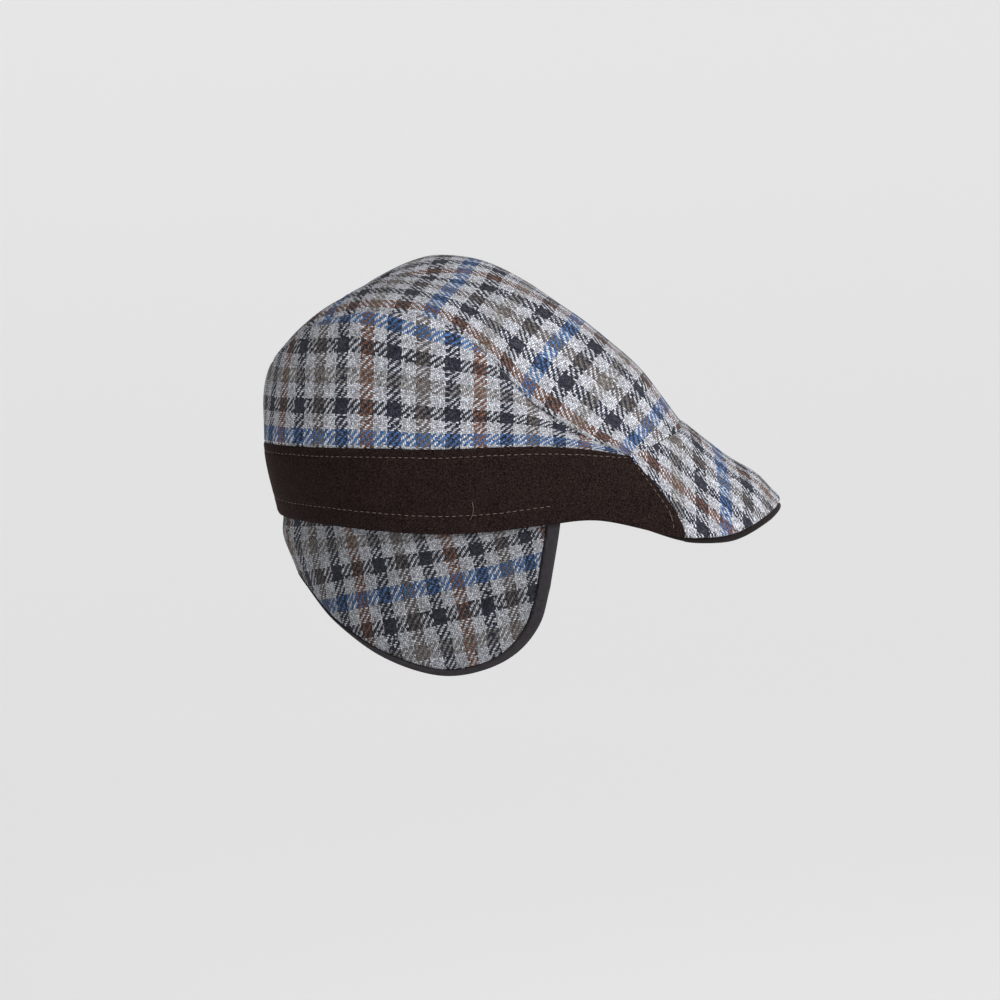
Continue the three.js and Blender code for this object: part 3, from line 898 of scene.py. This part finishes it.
def halved(low, high, inside):  # the place between two ends where a test turns false
    for _ in range(16):
        middle = (low + high) / 2
        low, high = (middle, high) if inside(middle) else (low, middle)
    return low


@lru_cache(maxsize=None)
def tweedLow(section):
    def inside(down):
        _, k, away = lowFinder.find(flapSkin(section, down))
        return away > lowEdge(abs(lowPath[k]))
    return halved(0.3, 1.0, inside)


@lru_cache(maxsize=None)
def tweedFront(down):
    return halved(5.0, flapLook["front"], lambda section: frontFinder.find(flapSkin(section, down))[2]
                  > flapLook["frontEdge"])


def flapPlace(s, t):
    share = 2 * s - 1
    reach = abs(0.6 * share + 0.4 * math.sin(share * math.pi / 2))
    section = reach * 6.0
    for _ in range(4):
        down = t * tweedLow(round(section, 4))
        section = reach * tweedFront(round(down, 4))
    return math.copysign(section, share), down


def flapFull(section, down):  # fullness round the back of the head, below the band
    fullest = flapLook["fullest"]
    fall = smooth(flapLook["rim"] + 0.02, fullest, down) * (1 - smooth(fullest, 1.0, down))
    return flapLook["full"] * fall * (1 - smooth(*flapLook["fullTo"], abs(section)))


def flapLift(section, down, p):
    seam = seamRoll(max(edgeGap(section, down)[0], 0.0), *flapLook["seam"])
    return seam + flapFull(section, down) + wander(p, *flapLook["uneven"])


def leanAt(run):
    far = flapLook["leanFrom"]
    return run * run / (2 * far) if run < far else run - far / 2


def flapCloth(section, down, p):
    run = readTable(flapRun, abs(section) / flapLook["front"])
    drop = (down - flapLook["rim"]) / (1 - flapLook["rim"]) * flapDrop(abs(section))
    lean = flapLook["lean"]
    rustRun = run - lean * min(1.0, run / flapLook["leanFrom"]) * drop
    blueDrop = -drop - lean * leanAt(run)
    x, y = flapLook["rustAt"]
    rustHome = flapRunAt(x) - lean * y
    x, y = flapLook["blueAt"]
    blueHome = -y - lean * leanAt(flapRunAt(x))
    u = rustRun - rustHome + lastWarp
    return (u if section >= 0 else -u), blueDrop - blueHome + lastWeft


@lru_cache(maxsize=None)
def flapRunAt(x):  # run of the flap's side where it passes a given x
    for k in range(300):
        section = 2 + k * (flapLook["front"] - 2) / 300
        if flapSkin(section, flapLook["middle"]).x >= x:
            return readTable(flapRun, section / flapLook["front"])
    return flapRun[-1]


flap = clothPiece("earFlap", flapLook, flapPlace, flapSkin, flapLift, flapCloth)
print("flap area", round(clothArea(flap), 5))

liningLook = {
    "columns": 260, "rows": 72, "material": "edgeCloth", "slot": "charcoal_cloth", "node": "flap_lining",
    "behind": 2.6, "cloth": 1.5, "proud": 0.35, "turned": (0.8, 1.1), "facing": flapLook["facing"],
}


def onBinding(section, down):  # 1 on the turned edge, 0 behind the tweed
    return 1 - smooth(-0.9, -0.1, edgeGap(section, down)[0])


def liningPlace(s, t):
    share = 2 * s - 1
    section = flapLook["front"] * (0.55 * share + 0.45 * math.sin(share * math.pi / 2))
    return section, mix(t, math.sin(t * math.pi / 2), 0.5)


def liningLift(section, down, p):
    _, low, front = edgeGap(section, down)
    depth, width = liningLook["turned"]
    turned = depth * max(bump(front, 0, width), bump(low, 0, width))
    lift = mix(-liningLook["behind"], liningLook["proud"] - turned, onBinding(section, down))
    return lift + flapFull(section, down) + wander(p, *flapLook["uneven"])


def liningWall(section, down):
    return liningLook["cloth"] + liningLook["behind"] * onBinding(section, down)


liningLook["wall"] = liningWall
lining = clothPiece("flapLining", liningLook, liningPlace, flapSkin, liningLift,
                    lambda a, b, p: (p.x + p.y, p.z))
print("lining area", round(clothArea(lining), 5))

# stitches on the suede
stitchLook = {"length": 2.3, "gap": 1.1, "thick": 0.17, "flat": 0.8, "proud": 0.42, "end": 7.9,
              "material": "thread", "slot": "suede"}


def addStitches(bm, places):  # a run of small threads through places on the band
    points = [(lowerSkin(*place), normalOn(lowerSkin, *place)) for place in places]
    lengths = [0.0]
    for (p, _), (q, _) in zip(points, points[1:]):
        lengths.append(lengths[-1] + (q - p).length)
    pitch = stitchLook["length"] + stitchLook["gap"]
    for n in range(int(lengths[-1] / pitch)):
        middle = (n + 0.5 + random.uniform(-0.05, 0.05)) * pitch
        k = next(m for m in range(1, len(lengths)) if lengths[m] >= middle) - 1
        t = (middle - lengths[k]) / (lengths[k + 1] - lengths[k])
        along = (points[k + 1][0] - points[k][0]).normalized()
        out = points[k][1].lerp(points[k + 1][1], t).normalized()
        across = out.cross(along).normalized()
        where = points[k][0].lerp(points[k + 1][0], t)
        lift = stitchLook["proud"] + wander(where, *bandLook["uneven"])
        where = where + out * lift + across * random.uniform(-0.12, 0.12)
        half = stitchLook["length"] / 2 * random.uniform(0.92, 1.05)
        thick = stitchLook["thick"]
        turn = Matrix((along * half, across * thick, out * thick * stitchLook["flat"])).transposed()
        lay = Matrix.Translation(where) @ turn.to_4x4() @ Matrix.Rotation(math.pi / 2, 4, "Y")
        bmesh.ops.create_uvsphere(bm, u_segments=8, v_segments=6, radius=1.0, matrix=lay)


def stitchRows():
    bm = bmesh.new()
    for flip in (1, -1):
        top, low, front = [], [], []
        for k in range(401):
            section = k / 400 * stitchLook["end"]
            tall = bandTall(section)
            top.append((flip * section, 1 - bandLook["topStitch"] / tall))
            if section <= bandLook["lowStitchEnd"]:
                low.append((flip * section, bandLook["lowStitch"] / tall))
        for k in range(81):
            height = mix(0.08, 0.9, k / 80)
            section = bandFront(height) - bandLook["frontStitch"] / sectionRun["bandFront"]
            front.append((flip * section, height))
        for run in (top, low, front):
            addStitches(bm, run)
    bmesh.ops.scale(bm, vec=(mm, mm, mm), verts=bm.verts[:])
    addPiece("bandStitches", bm, stitchLook["material"])


stitchRows()

# one loose thread on the suede, across the lower row of stitches
looseLook = {"length": 9.0, "thick": 0.13, "section": 4.62, "height": 0.17, "beads": 26, "bow": 0.05,
             "proud": 0.75, "arch": 0.5, "stretch": 2.4, "material": "thread", "slot": "suede"}
bm = bmesh.new()
for k in range(looseLook["beads"]):
    share = k / (looseLook["beads"] - 1)
    section = looseLook["section"] + looseLook["bow"] * math.sin(share * 2.6)
    spot = looseLook["height"] + share * looseLook["length"] / bandTall(section)
    out = normalOn(lowerSkin, section, spot)
    lift = looseLook["proud"] + looseLook["arch"] * math.sin(share * math.pi)
    where = lowerSkin(section, spot) + out * lift
    lay = Matrix.Translation(where) @ Matrix.Diagonal((1, 1, looseLook["stretch"], 1))
    bmesh.ops.create_uvsphere(bm, u_segments=6, v_segments=4, radius=looseLook["thick"], matrix=lay)
bmesh.ops.scale(bm, vec=(mm, mm, mm), verts=bm.verts[:])
addPiece("looseThread", bm, looseLook["material"])
print("stitches placed")

# pale floor that sweeps up all round
floorLook = {"level": -0.60, "flat": 2.2, "turn": 1.2, "rise": 0.8, "grey": 0.35, "glow": 0.56}
floorRun = floorLook["flat"] + floorLook["turn"] * math.pi / 2 + floorLook["rise"]
bm = bmesh.new()
bmesh.ops.create_grid(bm, x_segments=96, y_segments=60, size=0.5)
for v in bm.verts:
    angle = (v.co.x + 0.5) * 2 * math.pi
    run = (v.co.y + 0.5) * floorRun
    bend = min(max(run - floorLook["flat"], 0.0) / floorLook["turn"], math.pi / 2)
    out = min(run, floorLook["flat"]) + floorLook["turn"] * math.sin(bend)
    over = max(run - floorLook["flat"] - floorLook["turn"] * math.pi / 2, 0.0)
    v.co = Vector((out * math.cos(angle), out * math.sin(angle),
                   floorLook["level"] + floorLook["turn"] * (1 - math.cos(bend)) + over))
bmesh.ops.remove_doubles(bm, verts=bm.verts[:], dist=0.0005)
bmesh.ops.recalc_face_normals(bm, faces=bm.faces[:])
mesh = bpy.data.meshes.new("floor")
bm.to_mesh(mesh)
bm.free()
mesh.shade_smooth()
floorMaterial, _, floorShader = startMaterial("paleFloor")
floorShader.inputs["Base Color"].default_value = (*[floorLook["grey"]] * 3, 1.0)
floorShader.inputs["Emission Color"].default_value = (1.0, 1.0, 1.0, 1.0)
floorShader.inputs["Emission Strength"].default_value = floorLook["glow"]
floorShader.inputs["Roughness"].default_value = 0.9
floorMaterial.cycles.emission_sampling = "NONE"  # an even glow needs no aimed rays
mesh.materials.append(floorMaterial)
floor = bpy.data.objects.new("floor", mesh)
scene.collection.objects.link(floor)

# studio light
roomGlow = 0.15
world = bpy.data.worlds.new("studio")
scene.world = world
world.use_nodes = True
world.node_tree.nodes["Background"].inputs["Color"].default_value = (1.0, 1.0, 1.0, 1.0)
world.node_tree.nodes["Background"].inputs["Strength"].default_value = roomGlow
lights = {
    "key": {"at": (1.05, -1.0, 1.0), "size": 0.9, "power": 31.5, "to": (0.02, 0, 0.03)},
    "fill": {"at": (-0.5, -1.6, 0.3), "size": 1.2, "power": 1.5, "to": (0.02, 0, 0.03)},
}
for name, look in lights.items():
    lamp = bpy.data.lights.new(name, "AREA")
    lamp.size = look["size"]
    lamp.energy = look["power"]
    shown = bpy.data.objects.new(name, lamp)
    shown.location = look["at"]
    shown.rotation_euler = (Vector(look["to"]) - Vector(look["at"])).to_track_quat("-Z", "Y").to_euler()
    scene.collection.objects.link(shown)

# camera at the photo's angle
cameraLook = {"target": (0.0243, 0.0, 0.0065), "away": 1.1, "elevation": 6.7, "lens": 73.33}
up = math.radians(cameraLook["elevation"])
camera = bpy.data.objects.new("camera", bpy.data.cameras.new("camera"))
camera.data.lens = cameraLook["lens"]
camera.data.sensor_width = 36.0
target = Vector(cameraLook["target"])
camera.location = target + cameraLook["away"] * Vector((0, -math.cos(up), math.sin(up)))
camera.rotation_euler = (target - camera.location).to_track_quat("-Z", "Y").to_euler()
scene.collection.objects.link(camera)
scene.camera = camera
scene.view_settings.view_transform = "Standard"
print("stage set")
